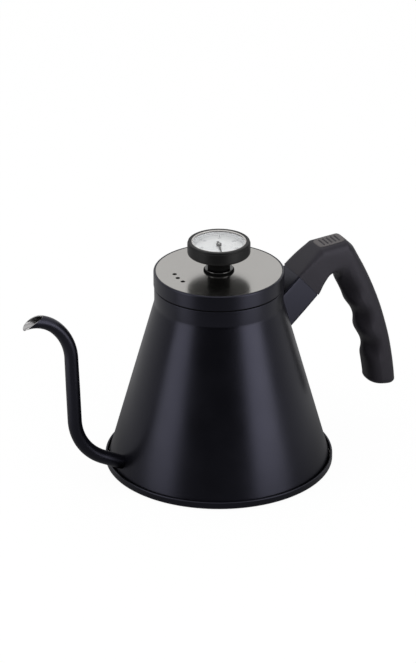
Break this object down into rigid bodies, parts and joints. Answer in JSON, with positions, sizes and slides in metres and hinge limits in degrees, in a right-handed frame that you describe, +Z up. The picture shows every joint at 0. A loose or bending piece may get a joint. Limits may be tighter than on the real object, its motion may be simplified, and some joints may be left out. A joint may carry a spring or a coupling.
{
  "type": "gooseneck kettle",
  "caption": "Tapered black pour-over kettle with a swan-neck spout, side grip handle and a lift-off steel-topped lid whose knob is a dial thermometer.",
  "frame": {"origin": "middle of the base on the surface it stands on", "axes": "+Z up along the body's axis, spout towards -X, handle towards +X; XZ is the mirror plane"},
  "size_m": [0.265, 0.15, 0.1566],
  "materials": {
    "coated_steel": "matt black baked coating",
    "brushed_plate": "satin brushed stainless steel",
    "bare_steel": "plain stainless steel",
    "polished_steel": "polished stainless steel",
    "grip_plastic": "fine-grained black polypropylene",
    "pad_rubber": "soft grey thermoplastic rubber",
    "silicone": "black silicone",
    "knob_plastic": "black phenolic",
    "dial_enamel": "silver-white printed enamel on aluminium",
    "dial_glass": "clear flat glass",
    "pointer_metal": "black painted aluminium",
    "bimetal": "bimetal strip",
    "bronze": "sintered bronze"
  },
  "bodies": {
    "kettle": {"body_shell": "coated_steel", "base_pan": "coated_steel", "induction_disc": "bare_steel", "spout_tube": "coated_steel", "handle_bracket": "coated_steel", "handle_tongue": "bare_steel", "handle_screws": "bare_steel", "handle_grip": "grip_plastic", "thumb_pad": "pad_rubber"},
    "gasket": {"lid_gasket": "silicone"},
    "lid": {"lid_skirt": "coated_steel", "lid_plate": "brushed_plate", "lid_insert": "bare_steel", "stem_seal": "silicone", "stem_washer": "polished_steel", "knob_stem": "knob_plastic", "gauge_housing": "knob_plastic", "gauge_sleeve": "bare_steel", "lock_washer": "bare_steel", "sleeve_nut": "bare_steel", "dial_plate": "dial_enamel", "dial_spacer": "polished_steel", "lens_gasket": "silicone", "gauge_lens": "dial_glass", "gauge_bezel": "polished_steel", "probe_tube": "bare_steel", "probe_tip": "bare_steel", "shaft_bush": "bronze", "bimetal_coil": "bimetal"},
    "pointer": {"pointer_hand": "pointer_metal", "pointer_shaft": "bare_steel"}
  },
  "joints": [
    {"name": "lid_lift", "type": "slide", "parent": "kettle", "child": "gasket", "axis": [0, 0, 1], "range_m": [0, 0.1]},
    {"name": "lid_turn", "type": "hinge", "parent": "gasket", "child": "lid", "pos_m": [0, 0, 0.1263], "axis": [0, 0, 1], "continuous": true},
    {"name": "pointer_turn", "type": "hinge", "parent": "lid", "child": "pointer", "pos_m": [0, 0, 0.1532], "axis": [0, 0, -1], "range_deg": [-50, 225]}
  ]
}
